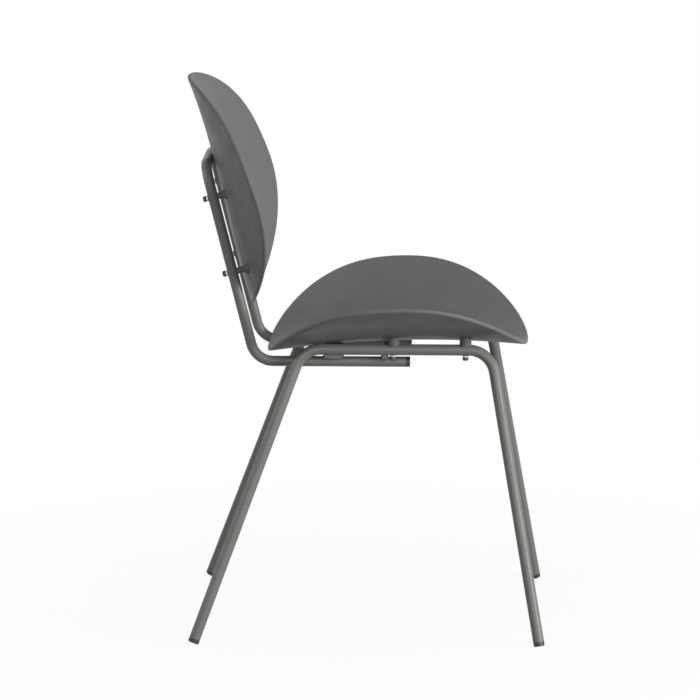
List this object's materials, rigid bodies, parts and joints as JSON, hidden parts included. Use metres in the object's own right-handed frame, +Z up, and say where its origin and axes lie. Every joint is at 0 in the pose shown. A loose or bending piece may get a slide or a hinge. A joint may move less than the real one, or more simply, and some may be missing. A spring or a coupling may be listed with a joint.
{
  "type": "moulded shell side chair",
  "caption": "Side chair with a dished moulded seat shell and a rounded, winged back shell, bolted to splayed legs and leaning uprights of bent round tube.",
  "frame": {"origin": "on the floor plane, at the centre of the chair's bounding box seen from above", "axes": "+X points to the front of the chair, +Y to its left, +Z up"},
  "size_m": [0.52, 0.4566, 0.7977],
  "materials": {
    "shell_plastic": "matt moulded, dark warm grey",
    "frame_paint": "satin powder coat, dark warm grey",
    "black_plastic": "matt black",
    "black_steel": "black oxide, satin",
    "zinc_steel": "zinc plated, dull",
    "insert_brass": "turned"
  },
  "bodies": {
    "root": {"seat_shell": "shell_plastic", "back_shell": "shell_plastic", "back_frame": "frame_paint", "side_frame_left": "frame_paint", "side_frame_right": "frame_paint", "rear_crossbar": "frame_paint", "front_crossbar": "frame_paint", "foot_plug_rear_left": "black_plastic", "foot_plug_rear_right": "black_plastic", "foot_plug_front_left": "black_plastic", "foot_plug_front_right": "black_plastic", "back_frame_end_cap_left": "black_plastic", "back_frame_end_cap_right": "black_plastic", "seat_bolts": "black_steel", "back_bolts": "black_steel", "seat_flat_washers": "zinc_steel", "seat_spring_washers": "zinc_steel", "back_flat_washers": "zinc_steel", "back_spring_washers": "zinc_steel", "seat_threaded_inserts": "insert_brass", "back_threaded_inserts": "insert_brass"}
  },
  "joints": []
}
